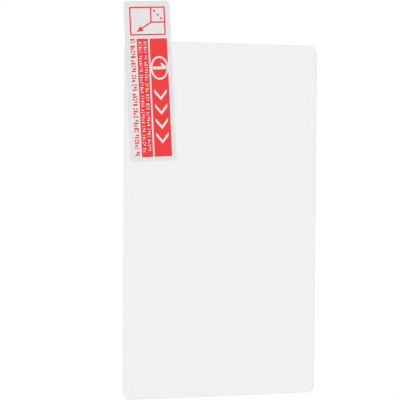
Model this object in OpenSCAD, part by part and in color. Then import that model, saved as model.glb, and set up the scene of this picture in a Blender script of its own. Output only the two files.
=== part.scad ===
// Screen protector for the display of a camera, as sold: the glass lies with its outer face down,
// its adhesive and release liner face up, and the printed pull tab reaches past one end.
// Origin: centre of the outer face. X runs across the glass, Y along it, Z up through the layers.

/* [Glass plate] */
// Width of the glass, across the display
glass_w = 42.8; // [38:0.1:60]
// Length of the glass, along the display
glass_l = 76; // [60:0.1:110]
// Thickness of the glass
glass_t = 0.3; // [0.26:0.01:0.5]
// Radius of the corners of the glass, seen from above
corner_r = 1.5; // [1.2:0.1:5]
// Width of the curved rim round the outer face
rim_w = 1; // [0.5:0.05:1.2]
// How far the curved rim has fallen away where it meets the edge
rim_drop = 0.18; // [0.08:0.01:0.2]
// Width and height of the bevel on the edge of the adhesive side
bevel = 0.05; // [0.02:0.01:0.06]

/* [Adhesive and release liner] */
// Thickness of the silicone adhesive
glue_t = 0.12; // [0.05:0.01:0.2]
// Thickness of the film that covers the adhesive
liner_t = 0.08; // [0.04:0.01:0.15]
// How far the adhesive and its liner stay inside the edge of the glass
liner_inset = 0.3; // [0.2:0.05:1]

/* [Pull tab] */
// Width of the tab
tab_w = 9.9; // [9.1:0.1:14]
// Length of the tab
tab_l = 33.7; // [28:0.1:50]
// Thickness of the tab's film
tab_t = 0.1; // [0.05:0.01:0.2]
// Radius of the tab's corners
tab_corner_r = 0.7; // [0.3:0.1:2]
// How far the tab's end stands out past the glass
tab_reach = 8.3; // [5:0.1:14]
// Distance from the side of the glass in to the tab, at the middle of the tab
tab_inset = 0.6; // [0.5:0.1:30]
// Angle that the tab is turned, anticlockwise
tab_turn = 3; // [0:0.5:4]

/* [Print] */
// Thickness of the ink
ink_t = 0.03; // [0.01:0.01:0.05]
// Bare film at the end of the tab, before the picture
print_head = 1.2; // [0.8:0.1:2]
// Bare film at the foot of the tab, after the bands
print_foot = 0.9; // [0.6:0.1:2]
// Bare film between the left side of the tab and the row of marks beside the bands
print_left = 1.05; // [0.7:0.05:1.3]
// Bare film between the wide band and the right side of the tab
print_right = 0.95; // [0.7:0.05:1.3]
// Bare film between the picture and the bands
picture_gap = 0.7; // [0.4:0.1:2]
// Bare film between the two bands
band_gap = 0.35; // [0.2:0.05:0.8]
// Width of the narrow band
narrow_w = 2.4; // [2:0.1:3]

/* [Picture of the peel] */
// Height of the picture's frame
frame_h = 6; // [5:0.1:8]
// Bare film on each side of the frame
frame_side = 1.12; // [0.8:0.02:1.5]
// Width of the picture's lines
line_w = 0.28; // [0.15:0.01:0.4]
// Width of the small box that stands for the lifted corner
flap_w = 3.2; // [2:0.1:4]
// Height of the small box
flap_h = 3.4; // [2:0.1:4]
// Length of each dash across the small box
dash_l = 0.55; // [0.3:0.05:0.8]
// Width of each dash
dash_w = 0.3; // [0.15:0.01:0.4]
// Distance from the left side of the frame to the arrow's tip
tip_side = 1.35; // [0.6:0.05:1.8]
// Distance from the foot of the frame up to the arrow's tip
tip_foot = 0.7; // [0.4:0.05:1.2]
// Length of the arrow's head
head_l = 1.45; // [0.8:0.05:2]
// Width of the arrow's head
head_w = 1.15; // [0.6:0.05:1.6]

/* [Wide band] */
// Distance from the top of the band to the ring
ring_drop = 3.7; // [2:0.1:6]
// Height of the ring, along the tab
ring_h = 5; // [4:0.1:7]
// Width of the ring's line
ring_line = 0.41; // [0.2:0.01:0.5]
// Solid ink between the ring and each end of the figure
figure_gap = 0.08; // [0.05:0.01:0.4]
// Width of the figure's upright
figure_line = 0.6; // [0.3:0.05:0.7]
// How far the figure's flag stands out from its upright
flag_out = 0.7; // [0.4:0.05:0.9]
// Distance from the head of the figure down to the outer end of its flag
flag_fall = 0.85; // [0.5:0.05:1]
// Width of the flag at its outer end
flag_line = 0.4; // [0.3:0.05:0.6]
// Distance from the head of the figure down to where its flag leaves the upright
flag_root = 0.9; // [0.6:0.05:1.1]
// Length of each chevron, along the tab
chevron_l = 2.4; // [1.5:0.1:4]
// Distance from one chevron to the next
chevron_pitch = 3.05; // [2.6:0.05:6]
// Width of a chevron's strokes, along the tab
chevron_line = 0.75; // [0.4:0.05:1.2]
// Bare ink on each side of the chevrons
chevron_side = 0.55; // [0.3:0.05:0.9]
// Solid ink between the ring and the first chevron
chevron_lead = 1.95; // [1:0.05:4]
// Least solid ink between the last chevron and the foot of the band
chevron_foot = 2; // [1:0.1:4]

/* [Rows of small marks] */
// Height of the marks in the two rows of the narrow band
row_mark_h = 0.62; // [0.4:0.02:0.8]
// Solid ink between the two rows
row_gap = 0.47; // [0.2:0.01:0.7]
// Distance from one mark to the next in the narrow band
row_pitch = 0.52; // [0.4:0.02:1]
// Solid ink added between one group of those marks and the next
row_group_gap = 0.3; // [0.1:0.05:1]
// Solid ink before the first mark and after the last
row_end = 0.65; // [0.3:0.05:2]
// Height of the marks printed on the bare film
note_mark_h = 0.95; // [0.5:0.05:1.2]
// Distance from one of those marks to the next
note_pitch = 0.54; // [0.4:0.02:1]
// Bare film added between one group of those marks and the next
note_group_gap = 0.35; // [0.1:0.05:1]
// Bare film between those marks and the narrow band
note_gap = 0.45; // [0.25:0.05:0.8]

/* [Hidden] */

// Round shapes are drawn this smooth
$fn = 72;
curve_steps = 56;

// Radius of the arc that the rim is ground to: flat where it leaves the outer face
rim_r = (rim_w * rim_w + rim_drop * rim_drop) / (2 * rim_drop);
rim_steps = 240;

// Heights of the layers, from the outer face of the glass up
glue_z = glass_t;
liner_z = glue_z + glue_t;
tab_z = liner_z + liner_t;
ink_z = tab_z + tab_t;

// Middle of the tab
tab_x = -glass_w / 2 + tab_inset + tab_w / 2;
tab_y = glass_l / 2 + tab_reach - tab_l / 2;

// Frame of the picture, in the tab's own coordinates
frame_right = tab_w / 2 - frame_side;
frame_top = tab_l / 2 - print_head;
frame_foot = frame_top - frame_h;
flap_corner = [frame_right - flap_w + line_w / 2, frame_top - flap_h + line_w / 2];
arrow_tip = [-frame_right + tip_side, frame_foot + tip_foot];
dash_count = 3;

// Bands and rows, in the tab's own coordinates
band_top = frame_foot - picture_gap;
band_foot = -tab_l / 2 + print_foot;
band_l = band_top - band_foot;
note_left = -tab_w / 2 + print_left;
narrow_left = note_left + note_mark_h + note_gap;
wide_left = narrow_left + narrow_w + band_gap;
wide_right = tab_w / 2 - print_right;
wide_w = wide_right - wide_left;
wide_mid = (wide_left + wide_right) / 2;

// The ring is a little wider than its band, so that it parts the band in two
ring_over = 0.06;
ring_a = wide_w / 2 + ring_over;
ring_b = ring_h / 2;
ring_y = band_top - ring_drop - ring_b;
figure_h = 2 * (ring_a - ring_line - figure_gap);

chevron_top = ring_y - ring_b - chevron_lead;
chevron_room = chevron_top - band_foot - chevron_foot;
chevron_count = 1 + floor((chevron_room - chevron_l) / chevron_pitch);
chevron_half = wide_w / 2 - chevron_side;

// Marks in each group, group after group, and the share of the pitch that each mark fills in turn
first_row_groups = [5, 7, 8, 5, 6, 3, 5];
second_row_groups = [5, 2, 8, 4, 3, 3, 6, 4];
note_groups = [2, 5, 5, 3, 3, 5, 4, 5, 6];
row_fill = [0.5, 0.38, 0.6, 0.46, 0.42];
note_fill = [0.6, 0.5, 0.72, 0.56];
// Stretches of its height that a mark fills: whole, open at its middle, short at one side or the other
mark_forms = [[[0, 1]], [[0, 0.35], [0.65, 1]], [[0, 0.65]], [[0.35, 1]]];
// Form of each mark in turn
mark_order = [0, 1, 0, 2, 1, 3, 0, 2, 0, 1, 3];

// Marks that come before group number n
function marks_before(groups, n) =
    n == 0 ? 0 : marks_before(groups, n - 1) + groups[(n - 1) % len(groups)];

// Rectangle with its low corner at [x0, y0] and its high corner at [x1, y1]
module span(x0, y0, x1, y1) {
    translate([x0, y0]) square([x1 - x0, y1 - y0]);
}

module round_rect(w, l, r) {
    square([w - 2 * r, l], center = true);
    square([w, l - 2 * r], center = true);
    for (x = [-1, 1], y = [-1, 1])
        translate([x * (w / 2 - r), y * (l / 2 - r)]) circle(r);
}

module ellipse(a, b) {
    polygon([for (i = [0 : curve_steps - 1])
        [a * cos(360 * i / curve_steps), b * sin(360 * i / curve_steps)]]);
}

// Section of the glass from its middle out to an edge that lies at reach
module glass_section(reach) {
    span(0, 0, reach - rim_w, glass_t);
    intersection() {
        polygon([
            [reach - rim_w, 0],
            [reach, 0],
            [reach, glass_t - bevel],
            [reach - bevel, glass_t],
            [reach - rim_w, glass_t],
        ]);
        translate([reach - rim_w, rim_r]) circle(rim_r, $fn = rim_steps);
    }
}

// The section carried straight along Y, from one edge of the glass to the other
module glass_bar(w, l) {
    rotate([90, 0, 0])
        linear_extrude(l, center = true) {
            glass_section(w / 2);
            mirror([1, 0]) glass_section(w / 2);
        }
}

module glass_corner() {
    translate([glass_w / 2 - corner_r, glass_l / 2 - corner_r, 0])
        rotate_extrude(angle = 90) glass_section(corner_r);
}

module glass_plate() {
    color([0.93, 0.95, 0.95])
        union() {
            glass_bar(glass_w, glass_l - 2 * corner_r);
            rotate(90) glass_bar(glass_l, glass_w - 2 * corner_r);
            for (x = [0, 1], y = [0, 1]) mirror([x, 0, 0]) mirror([0, y, 0]) glass_corner();
        }
}

// A layer with the outline of the glass, drawn in by the inset
module inset_sheet(z, t) {
    translate([0, 0, z])
        linear_extrude(t)
            round_rect(
                glass_w - 2 * liner_inset,
                glass_l - 2 * liner_inset,
                corner_r - liner_inset
            );
}

module adhesive_layer() {
    color([0.95, 0.95, 0.94]) inset_sheet(glue_z, glue_t);
}

module release_liner() {
    color([0.945, 0.945, 0.95]) inset_sheet(liner_z, liner_t);
}

module on_tab(z) {
    translate([tab_x, tab_y, z]) rotate(tab_turn) children();
}

module pull_tab() {
    color([0.89, 0.89, 0.9])
        on_tab(tab_z) linear_extrude(tab_t) round_rect(tab_w, tab_l, tab_corner_r);
}

module ink() {
    color([0.925, 0.28, 0.275]) on_tab(ink_z) linear_extrude(ink_t) children();
}

module dashes() {
    dash_angle = atan2(-flap_h, flap_w);
    for (i = [1 : dash_count])
        translate([
            flap_corner[0] + (flap_w - line_w) * i / (dash_count + 1),
            flap_corner[1] + (flap_h - line_w) * (1 - i / (dash_count + 1)),
        ])
            rotate(dash_angle) square([dash_l, dash_w], center = true);
}

module arrow() {
    way = arrow_tip - flap_corner;
    translate(flap_corner)
        rotate(atan2(way[1], way[0])) {
            span(0, -line_w / 2, norm(way) - head_l, line_w / 2);
            translate([norm(way), 0])
                polygon([[0, 0], [-head_l, head_w / 2], [-head_l, -head_w / 2]]);
        }
}

module print_peel_picture() {
    ink() {
        difference() {
            span(-frame_right, frame_foot, frame_right, frame_top);
            span(-frame_right + line_w, frame_foot + line_w, frame_right - line_w, frame_top - line_w);
        }
        span(frame_right - flap_w, frame_top - flap_h, frame_right - flap_w + line_w, frame_top);
        span(frame_right - flap_w, frame_top - flap_h, frame_right, frame_top - flap_h + line_w);
        dashes();
        arrow();
    }
}

module ring() {
    difference() {
        ellipse(ring_a, ring_b);
        ellipse(ring_a - ring_line, ring_b - ring_line);
    }
}

// The figure 1, lying on its side so that it is read along the tab
module figure_one() {
    head = figure_h / 2;
    half = figure_line / 2;
    span(-head, -half, head, half);
    polygon([
        [head, 0],
        [head, half],
        [head - flag_fall, half + flag_out],
        [head - flag_fall - flag_line, half + flag_out],
        [head - flag_root, half],
        [head - flag_root, 0],
    ]);
}

module chevron() {
    fall = chevron_l - chevron_line;
    polygon([
        [-chevron_half, 0],
        [0, -fall],
        [chevron_half, 0],
        [chevron_half, -chevron_line],
        [0, -chevron_l],
        [-chevron_half, -chevron_line],
    ]);
}

module print_number_band() {
    ink()
        difference() {
            span(wide_left, band_foot, wide_right, band_top);
            translate([wide_mid, ring_y]) {
                ring();
                figure_one();
            }
            for (i = [0 : chevron_count - 1])
                translate([wide_mid, chevron_top - i * chevron_pitch]) chevron();
        }
}

// A row of plain marks in groups, running down from the origin and never past its run
module mark_row(run, mark_h, pitch, group_gap, groups, fill) {
    last_group = floor(run / (min(groups) * pitch + group_gap));
    for (n = [0 : last_group], k = [0 : groups[n % len(groups)] - 1]) {
        i = marks_before(groups, n) + k;
        start = i * pitch + n * group_gap;
        end = start + pitch * fill[i % len(fill)];
        if (end <= run)
            for (part = mark_forms[mark_order[i % len(mark_order)]])
                span(mark_h * part[0], -end, mark_h * part[1], -start);
    }
}

module print_narrow_band() {
    row_side = (narrow_w - 2 * row_mark_h - row_gap) / 2;
    run = band_l - 2 * row_end;
    ink()
        difference() {
            span(narrow_left, band_foot, narrow_left + narrow_w, band_top);
            translate([narrow_left + row_side, band_top - row_end])
                mark_row(run, row_mark_h, row_pitch, row_group_gap, first_row_groups, row_fill);
            translate([narrow_left + narrow_w - row_side - row_mark_h, band_top - row_end])
                mark_row(run, row_mark_h, row_pitch, row_group_gap, second_row_groups, row_fill);
        }
}

module print_note_line() {
    ink()
        translate([note_left, band_top])
            mark_row(band_l, note_mark_h, note_pitch, note_group_gap, note_groups, note_fill);
}

glass_plate();
adhesive_layer();
release_liner();
pull_tab();
print_peel_picture();
print_number_band();
print_narrow_band();
print_note_line();
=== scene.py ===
"""Camera screen protector, lying with its release liner and its printed pull tab up.

The layers are rebuilt from their edge profiles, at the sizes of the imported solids, so that each has
the edge its own making leaves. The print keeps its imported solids. Everything is in metres, in the
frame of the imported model: X across the glass, Y along it, Z up through the layers.
"""
import math

import bpy
from mathutils import Matrix, Vector


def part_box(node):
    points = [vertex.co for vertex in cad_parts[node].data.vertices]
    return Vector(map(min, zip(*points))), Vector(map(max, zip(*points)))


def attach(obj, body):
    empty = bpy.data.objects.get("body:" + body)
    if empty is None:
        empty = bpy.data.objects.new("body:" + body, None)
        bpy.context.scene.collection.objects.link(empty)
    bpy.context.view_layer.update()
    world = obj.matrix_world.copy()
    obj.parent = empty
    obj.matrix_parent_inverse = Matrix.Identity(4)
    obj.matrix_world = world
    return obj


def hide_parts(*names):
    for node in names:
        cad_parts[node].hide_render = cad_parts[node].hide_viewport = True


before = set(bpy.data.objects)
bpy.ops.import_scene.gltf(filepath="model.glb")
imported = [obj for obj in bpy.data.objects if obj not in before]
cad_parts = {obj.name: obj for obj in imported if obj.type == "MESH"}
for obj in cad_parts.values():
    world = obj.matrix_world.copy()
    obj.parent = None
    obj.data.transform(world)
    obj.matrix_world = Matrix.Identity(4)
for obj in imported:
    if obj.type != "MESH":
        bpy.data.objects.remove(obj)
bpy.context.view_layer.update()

scene = bpy.context.scene

MM = 0.001
# Faces closer to a height than this count as lying at it
NEAR = 0.005 * MM
# A face whose normal rises less than this is a cut edge
EDGE_NORMAL = 0.8
# Two faces that meet at more than this angle stay crisp
CRISP_BEND = math.radians(25)


def linear(hex_colour):
    """An sRGB hex colour, such as #EC4846, as linear RGBA."""
    parts = [int(hex_colour[i : i + 2], 16) / 255 for i in (1, 3, 5)]
    return [p / 12.92 if p <= 0.04045 else ((p + 0.055) / 1.055) ** 2.4 for p in parts] + [1]


def add(tree, kind, *values, named=None, **settings):
    """Adds a node. Its inputs are filled in order, or by name or number; a node gives its first output."""
    made = tree.nodes.new(kind)
    for name, value in settings.items():
        setattr(made, name, value)
    for socket, value in [*enumerate(values), *(named or {}).items()]:
        if isinstance(value, bpy.types.Node):
            value = value.outputs[0]
        if isinstance(value, bpy.types.NodeSocket):
            tree.links.new(value, made.inputs[socket])
        elif value is not None:
            made.inputs[socket].default_value = value
    return made


# Camera: above the side of the glass that the tab is on, leaning about 15 degrees from straight down
CAMERA_AT = Vector((-71.2, 12.35, 259.1)) * MM
CAMERA_AIM = Vector((-4.76, 4.38, 0.25)) * MM
CAMERA_ROLL = math.radians(0.37)

backwards = (CAMERA_AT - CAMERA_AIM).normalized()
rightwards = Vector((0, 1, 0)).cross(backwards).normalized()
level = Matrix((rightwards, backwards.cross(rightwards), backwards)).transposed()
camera = bpy.data.objects.new("camera", bpy.data.cameras.new("camera"))
camera.data.lens = 112.5
camera.data.sensor_width = 36
camera.data.clip_start = 10 * MM
camera.matrix_world = (
    Matrix.Translation(CAMERA_AT) @ (level @ Matrix.Rotation(CAMERA_ROLL, 3, "Z")).to_4x4()
)
scene.collection.objects.link(camera)
scene.camera = camera


# Sizes of the real pieces. The tab's are given too, because the box of its turned solid is larger
RIM_WIDTH = 1.0 * MM
RIM_DROP = 0.18 * MM
GLASS_BEVEL = 0.05 * MM
GLASS_CORNER = 1.5 * MM
ADHESIVE_BULGE = 0.03 * MM
FILM_ROLL = 0.025 * MM
TAB_WIDTH = 9.9 * MM
TAB_LENGTH = 33.7 * MM
TAB_CORNER = 0.7 * MM
TAB_TURN = math.radians(3)

# Sizes of the patterns in the finishes. The film's grain and the ink's mottle are really finer, near
# 0.03 mm and the 0.13 mm of a printing mesh, and are drawn this coarse so that they show
FILM_GRAIN = 0.15 * MM
FILM_CLOUD = 2.5 * MM
INK_MOTTLE = 0.3 * MM
PRINT_RELIEF = 0.004 * MM
LINER_RIPPLE = 7 * MM
LINER_RIPPLE_DEPTH = 0.02 * MM


def new_finish(name):
    """A material with an empty node tree."""
    material = bpy.data.materials.new(name)
    material.use_nodes = True
    material.node_tree.nodes.clear()
    return material, material.node_tree


def lumps(tree, size, detail=2.0):
    """Noise whose lumps are about that far across, fixed to the piece."""
    place = add(tree, "ShaderNodeTexCoord").outputs["Object"]
    return add(tree, "ShaderNodeTexNoise", named={"Vector": place, "Scale": 1 / size, "Detail": detail})


def above(tree, height):
    """1 on the parts of the piece that are higher than this, 0 on the rest."""
    place = add(tree, "ShaderNodeTexCoord").outputs["Object"]
    z = add(tree, "ShaderNodeSeparateXYZ", place).outputs["Z"]
    return add(tree, "ShaderNodeMath", z, height, operation="GREATER_THAN")


def upright(tree):
    """1 on cut edges, which stand up from the sheet, 0 on its flat faces."""
    normal = add(tree, "ShaderNodeNewGeometry").outputs["Normal"]
    z = add(tree, "ShaderNodeSeparateXYZ", normal).outputs["Z"]
    height = add(tree, "ShaderNodeMath", z, operation="ABSOLUTE")
    return add(tree, "ShaderNodeMath", height, EDGE_NORMAL, operation="LESS_THAN")


def clear_layer(tree, bare, face_colour, edge_colour, ior, roughness, haze, bump=None):
    """See-through with no bending of what lies behind, as a thin flat layer looks.

    Bare is 1 where air meets the layer and 0 where it is stuck to the next one, which shows nothing.
    It mirrors the share of light that its IOR gives seen straight on, and all of it at grazing.
    """
    gloss = ((ior - 1) / (ior + 1)) ** 2
    facing = add(tree, "ShaderNodeLayerWeight", 0.5, bump).outputs["Facing"]
    grazing = add(tree, "ShaderNodeMath", facing, 5.0, operation="POWER")
    mirrored = add(tree, "ShaderNodeMath", grazing, 1 - gloss, gloss, operation="MULTIPLY_ADD")
    mirrored = add(tree, "ShaderNodeMath", mirrored, bare, operation="MULTIPLY")
    hazed = add(tree, "ShaderNodeMath", bare, haze, operation="MULTIPLY")
    colour = add(
        tree, "ShaderNodeMix", upright(tree), data_type="RGBA", named={6: face_colour, 7: edge_colour}
    )
    shown = add(
        tree, "ShaderNodeMix", bare, data_type="RGBA", named={6: linear("#FFFFFF"), 7: colour.outputs[2]}
    )
    clear = add(tree, "ShaderNodeBsdfTransparent", shown.outputs[2])
    veil = add(tree, "ShaderNodeBsdfDiffuse", linear("#F4F4F4"))
    mirror = add(tree, "ShaderNodeBsdfGlossy", named={"Roughness": roughness, "Normal": bump})
    body = add(tree, "ShaderNodeMixShader", hazed, clear, veil)
    surface = add(tree, "ShaderNodeMixShader", mirrored, body, mirror)
    add(tree, "ShaderNodeOutputMaterial", surface)


def tempered_glass():
    """Tempered soda-lime glass, polished: clear and mirror smooth, a trace of green at its ground edge."""
    material, tree = new_finish("tempered_glass_polished")
    place = add(tree, "ShaderNodeTexCoord").outputs["Object"]
    place = add(tree, "ShaderNodeSeparateXYZ", place).outputs
    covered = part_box("adhesive_layer")[1]
    across = add(tree, "ShaderNodeMath", place["X"], operation="ABSOLUTE")
    past_side = add(tree, "ShaderNodeMath", across, covered.x, operation="GREATER_THAN")
    along = add(tree, "ShaderNodeMath", place["Y"], operation="ABSOLUTE")
    past_end = add(tree, "ShaderNodeMath", along, covered.y, operation="GREATER_THAN")
    margin = add(tree, "ShaderNodeMath", past_side, past_end, operation="MAXIMUM")
    under_adhesive = above(tree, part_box("glass_plate")[1].z - NEAR)
    open_below = add(tree, "ShaderNodeMath", 1.0, under_adhesive, operation="SUBTRACT")
    bare = add(tree, "ShaderNodeMath", margin, open_below, operation="MAXIMUM")
    face, edge = linear("#F9F9F9"), linear("#DBE4DF")
    clear_layer(tree, bare, face, edge, ior=1.51, roughness=0.01, haze=0.004)
    return material


def silicone_adhesive():
    """Optical silicone adhesive, cast on the glass: so clear that only its edge shows, soft and dull."""
    material, tree = new_finish("silicone_adhesive_cast")
    face, edge = linear("#FFFFFF"), linear("#F8F8F6")
    clear_layer(tree, upright(tree), face, edge, ior=1.41, roughness=0.08, haze=0.01)
    return material


def liner_film():
    """Clear polyester release liner, calendered: glossy, with a trace of haze and slow ripples."""
    material, tree = new_finish("polyester_liner_calendered")
    wave = lumps(tree, LINER_RIPPLE, detail=0.0)
    ripple = add(tree, "ShaderNodeBump", named={"Height": wave, "Distance": LINER_RIPPLE_DEPTH})
    bare = above(tree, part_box("release_liner")[0].z + NEAR)
    face, edge = linear("#F9F9F9"), linear("#F2F3F5")
    clear_layer(tree, bare, face, edge, ior=1.57, roughness=0.03, haze=0.03, bump=ripple)
    return material


def tab_film():
    """White polypropylene label film, matt calendered: an even pale grey with a fine grain and no glare."""
    material, tree = new_finish("polypropylene_film_matt")
    grain = lumps(tree, FILM_GRAIN)
    bump = add(tree, "ShaderNodeBump", named={"Height": grain, "Distance": PRINT_RELIEF, "Strength": 0.6})
    cloud = lumps(tree, FILM_CLOUD)
    colour = add(
        tree, "ShaderNodeMix", cloud, data_type="RGBA", named={6: linear("#DEDEDF"), 7: linear("#E3E3E4")}
    )
    roughness = add(tree, "ShaderNodeMapRange", grain, named={"To Min": 0.34, "To Max": 0.46})
    film = add(
        tree,
        "ShaderNodeBsdfPrincipled",
        colour.outputs[2],
        named={"Roughness": roughness, "IOR": 1.49, "Normal": bump},
    )
    add(tree, "ShaderNodeOutputMaterial", film)
    return material


def screen_ink():
    """UV-cured red ink, screen printed: opaque satin, with the faint mottle that the mesh leaves."""
    material, tree = new_finish("red_ink_screen_printed")
    mottle = lumps(tree, INK_MOTTLE, detail=3.0)
    bump = add(tree, "ShaderNodeBump", named={"Height": mottle, "Distance": PRINT_RELIEF, "Strength": 0.5})
    colour = add(
        tree, "ShaderNodeMix", mottle, data_type="RGBA", named={6: linear("#E72224"), 7: linear("#F12C2C")}
    )
    coat = add(
        tree,
        "ShaderNodeBsdfPrincipled",
        colour.outputs[2],
        named={"Roughness": 0.42, "IOR": 1.5, "Normal": bump},
    )
    add(tree, "ShaderNodeOutputMaterial", coat)
    return material


def edged_sheet_tree():
    """Geometry Nodes: a flat sheet with rounded corners whose four edges follow one profile.

    The object's own points are the profile, from the lower face round the edge to the upper face: x is how
    far a point lies in from the edge, z its height. A closed cylinder with one ring of points for each
    point of the profile is drawn out to the sheet, so the faces stay closed and point outwards.
    """
    tree = bpy.data.node_groups.new("edged_sheet", "GeometryNodeTree")
    for name, kind in (
        ("Profile", "Geometry"),
        ("Width", "Float"),
        ("Length", "Float"),
        ("Corner Radius", "Float"),
        ("Corner Steps", "Int"),
        ("Middle", "Vector"),
        ("Turn", "Vector"),
        ("Finish", "Material"),
    ):
        tree.interface.new_socket(name, in_out="INPUT", socket_type="NodeSocket" + kind)
    tree.interface.new_socket("Sheet", in_out="OUTPUT", socket_type="NodeSocketGeometry")
    given = add(tree, "NodeGroupInput").outputs
    radius = given["Corner Radius"]

    # Four corners, each with a point more than it has steps, make one ring
    corner_points = add(tree, "ShaderNodeMath", given["Corner Steps"], 1, operation="ADD")
    ring_points = add(tree, "ShaderNodeMath", corner_points, 4, operation="MULTIPLY")
    profile_points = add(tree, "GeometryNodeAttributeDomainSize", given["Profile"])
    ring_gaps = add(tree, "ShaderNodeMath", profile_points, 1, operation="SUBTRACT")
    cylinder = add(
        tree,
        "GeometryNodeMeshCylinder",
        named={"Vertices": ring_points, "Side Segments": ring_gaps, "Radius": 1, "Depth": 1},
    )

    # Which way each point faces, from its place in its ring
    index = add(tree, "GeometryNodeInputIndex")
    in_ring = add(tree, "ShaderNodeMath", index, ring_points, operation="MODULO")
    corner = add(tree, "ShaderNodeMath", in_ring, corner_points, operation="DIVIDE")
    corner = add(tree, "ShaderNodeMath", corner, operation="FLOOR")
    step = add(tree, "ShaderNodeMath", in_ring, corner_points, operation="MODULO")
    turned = add(tree, "ShaderNodeMath", step, given["Corner Steps"], operation="DIVIDE")
    turned = add(tree, "ShaderNodeMath", turned, corner, operation="ADD")
    angle = add(tree, "ShaderNodeMath", turned, math.pi / 2, operation="MULTIPLY")
    diagonal = add(tree, "ShaderNodeMath", corner, math.pi / 2, math.pi / 4, operation="MULTIPLY_ADD")

    # How far in and how high it lies, from the point of the profile that its ring stands for
    place = add(tree, "GeometryNodeInputPosition")
    height = add(tree, "ShaderNodeSeparateXYZ", place).outputs["Z"]
    ring = add(tree, "ShaderNodeMath", height, 0.5, operation="ADD")
    ring = add(tree, "ShaderNodeMath", ring, ring_gaps, operation="MULTIPLY")
    ring = add(tree, "ShaderNodeMath", ring, operation="ROUND")
    edge = add(
        tree,
        "GeometryNodeSampleIndex",
        given["Profile"],
        data_type="FLOAT_VECTOR",
        named={"Value": place, "Index": ring},
    )
    edge = add(tree, "ShaderNodeSeparateXYZ", edge).outputs
    arm = add(tree, "ShaderNodeMath", radius, edge["X"], operation="SUBTRACT")

    # Its place: the middle of its corner's arc, and out from there by what is left of the radius
    spot = []
    for side, way in (("Width", "COSINE"), ("Length", "SINE")):
        half = add(tree, "ShaderNodeMath", given[side], 2, operation="DIVIDE")
        centre = add(tree, "ShaderNodeMath", half, radius, operation="SUBTRACT")
        sign = add(tree, "ShaderNodeMath", diagonal, operation=way)
        sign = add(tree, "ShaderNodeMath", sign, operation="SIGN")
        centre = add(tree, "ShaderNodeMath", centre, sign, operation="MULTIPLY")
        out = add(tree, "ShaderNodeMath", angle, operation=way)
        spot.append(add(tree, "ShaderNodeMath", out, arm, centre, operation="MULTIPLY_ADD"))
    spot = add(tree, "ShaderNodeCombineXYZ", *spot, edge["Z"])
    sheet = add(tree, "GeometryNodeSetPosition", cylinder, named={"Position": spot})
    sheet = add(
        tree,
        "GeometryNodeTransform",
        sheet,
        named={"Translation": given["Middle"], "Rotation": given["Turn"]},
    )

    # Smooth round the rim, sharp where two faces meet at an edge
    bend = add(tree, "GeometryNodeInputMeshEdgeAngle")
    crisp = add(tree, "ShaderNodeMath", bend, CRISP_BEND, operation="GREATER_THAN")
    sheet = add(
        tree,
        "GeometryNodeSetShadeSmooth",
        sheet,
        domain="EDGE",
        named={"Selection": crisp, "Shade Smooth": False},
    )
    sheet = add(tree, "GeometryNodeRealizeInstances", sheet)
    sheet = add(tree, "GeometryNodeSetMaterial", sheet, named={"Material": given["Finish"]})
    add(tree, "NodeGroupOutput", sheet)
    return tree


def arc(centre, radius, start, end, steps):
    """Points along an arc, as pairs of distance in from the edge and height, at angles from straight in."""
    turns = [math.radians(start + (end - start) * i / steps) for i in range(steps + 1)]
    return [(centre[0] + radius * math.cos(t), centre[1] + radius * math.sin(t)) for t in turns]


def ground_edge(low, high):
    """Glass: the lower face curves up into the rim, a short side follows, and a fine bevel on top."""
    radius = (RIM_WIDTH**2 + RIM_DROP**2) / (2 * RIM_DROP)
    swing = math.degrees(math.asin(RIM_WIDTH / radius))
    rim = arc((RIM_WIDTH, low + radius), radius, -90, -90 - swing, steps=12)
    bevel = arc((GLASS_BEVEL, high - GLASS_BEVEL), GLASS_BEVEL, 180, 90, steps=4)
    return rim + bevel


def bulged_edge(low, high):
    """Silicone: pressed between two sheets, its edge stands out a little at half its height."""
    half = (high - low) / 2
    radius = (half**2 + ADHESIVE_BULGE**2) / (2 * ADHESIVE_BULGE)
    swing = math.degrees(math.asin(half / radius))
    return arc((radius, low + half), radius, 180 + swing, 180 - swing, steps=6)


def die_cut_edge(low, high):
    """Film: the die goes in from above and draws the upper edge round."""
    return [(0, low)] + arc((FILM_ROLL, high - FILM_ROLL), FILM_ROLL, 180, 90, steps=4)


SHEET_TREE = edged_sheet_tree()


def make_sheet(name, node, edge, finish, corner, size=None, turn=0.0, steps=24):
    """One layer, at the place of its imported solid."""
    low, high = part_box(node)
    width, length = size or (high.x - low.x, high.y - low.y)
    middle = (low + high) / 2
    profile = bpy.data.meshes.new(name)
    profile.from_pydata([(inward, 0, height) for inward, height in edge(low.z, high.z)], [], [])
    maker = bpy.data.objects.new(name, profile)
    scene.collection.objects.link(maker)
    modifier = maker.modifiers.new("edged_sheet", "NODES")
    modifier.node_group = SHEET_TREE
    sockets = SHEET_TREE.interface.items_tree
    for socket, value in {
        "Width": width,
        "Length": length,
        "Corner Radius": corner,
        "Corner Steps": steps,
        "Middle": (middle.x, middle.y, 0),
        "Turn": (0, 0, turn),
        "Finish": finish,
    }.items():
        modifier[sockets[socket].identifier] = value
    made = bpy.data.meshes.new_from_object(maker.evaluated_get(bpy.context.evaluated_depsgraph_get()))
    bpy.data.objects.remove(maker)
    bpy.data.meshes.remove(profile)
    sheet = bpy.data.objects.new(name, made)
    scene.collection.objects.link(sheet)
    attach(sheet, "root")
    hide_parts(node)


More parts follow.
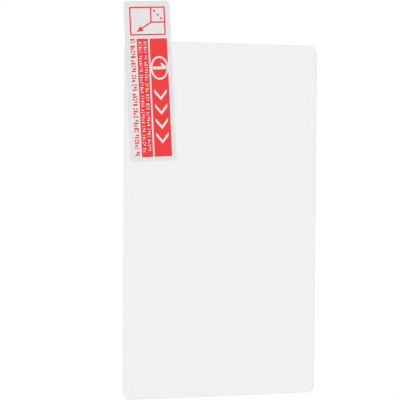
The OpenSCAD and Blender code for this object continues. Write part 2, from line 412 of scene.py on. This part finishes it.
inner_corner = GLASS_CORNER - (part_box("adhesive_layer")[0].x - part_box("glass_plate")[0].x)
tab_size = (TAB_WIDTH, TAB_LENGTH)
make_sheet("glass_sheet", "glass_plate", ground_edge, tempered_glass(), GLASS_CORNER)
make_sheet("adhesive_sheet", "adhesive_layer", bulged_edge, silicone_adhesive(), inner_corner)
make_sheet("liner_sheet", "release_liner", die_cut_edge, liner_film(), inner_corner)
make_sheet("tab_sheet", "pull_tab", die_cut_edge, tab_film(), TAB_CORNER, size=tab_size, turn=TAB_TURN)

ink = screen_ink()
for print_node in ("print_peel_picture", "print_number_band", "print_narrow_band", "print_note_line"):
    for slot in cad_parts[print_node].material_slots:
        slot.material = ink


def shown_rays(tree):
    """1 for what the camera sees, straight, mirrored or through glass, 0 for the light on the object."""
    path = add(tree, "ShaderNodeLightPath").outputs
    straight_or_mirrored = add(
        tree, "ShaderNodeMath", path["Is Camera Ray"], path["Is Glossy Ray"], operation="MAXIMUM"
    )
    return add(
        tree, "ShaderNodeMath", straight_or_mirrored, path["Is Transmission Ray"], operation="MAXIMUM"
    )


# Floor: a white board that the camera sees as white and that still takes the object's shadow. Most of
# what is seen of it is its own glow, a little over 1, so that with the lit board it comes to white
FLOOR_HALF = 3.0
FLOOR_DROP = 0.03 * MM
GLOW_SHARE = 0.9
GLOW = 1.028

floor_mesh = bpy.data.meshes.new("floor")
floor_mesh.from_pydata(
    [(x * FLOOR_HALF, y * FLOOR_HALF, -FLOOR_DROP) for x, y in ((-1, -1), (1, -1), (1, 1), (-1, 1))],
    [],
    [(0, 1, 2, 3)],
)
board, tree = new_finish("white_board_matt")
glow_share = add(tree, "ShaderNodeMath", shown_rays(tree), GLOW_SHARE, operation="MULTIPLY")
paper = add(tree, "ShaderNodeBsdfDiffuse", linear("#F2F2F2"))
glow = add(tree, "ShaderNodeEmission", named={"Strength": GLOW})
add(tree, "ShaderNodeOutputMaterial", add(tree, "ShaderNodeMixShader", glow_share, paper, glow))
floor_mesh.materials.append(board)
floor = bpy.data.objects.new("floor", floor_mesh)
scene.collection.objects.link(floor)

# Light: an even tent that is seen and mirrored as white, with a soft lamp at the upper left and a
# weaker one at the lower right. Both are weak, so that the glass shows their mirror images as a gleam
# and still stands out from the floor
TENT_LIGHT = 0.94
world = bpy.data.worlds.new("light_tent")
world.use_nodes = True
scene.world = world
sky = world.node_tree
sky.nodes.clear()
strength = add(sky, "ShaderNodeMapRange", shown_rays(sky), named={"To Min": TENT_LIGHT, "To Max": 1.0})
add(sky, "ShaderNodeOutputWorld", add(sky, "ShaderNodeBackground", linear("#FFFFFF"), strength))

for name, place, size, watts in (
    ("key_lamp", (-0.38, 0.8, 1.15), 0.8, 1.6),
    ("fill_lamp", (0.32, -0.77, 1.06), 0.6, 0.6),
):
    lamp = bpy.data.objects.new(name, bpy.data.lights.new(name, "AREA"))
    lamp.data.size = size
    lamp.data.energy = watts
    lamp.location = place
    lamp.rotation_euler = Vector(place).to_track_quat("Z", "Y").to_euler()
    scene.collection.objects.link(lamp)

# Light crosses the six faces of the clear layers on its way down to the floor and again on its way up,
# more than the usual limit of eight
scene.cycles.transparent_max_bounces = 24
scene.view_settings.view_transform = "Standard"
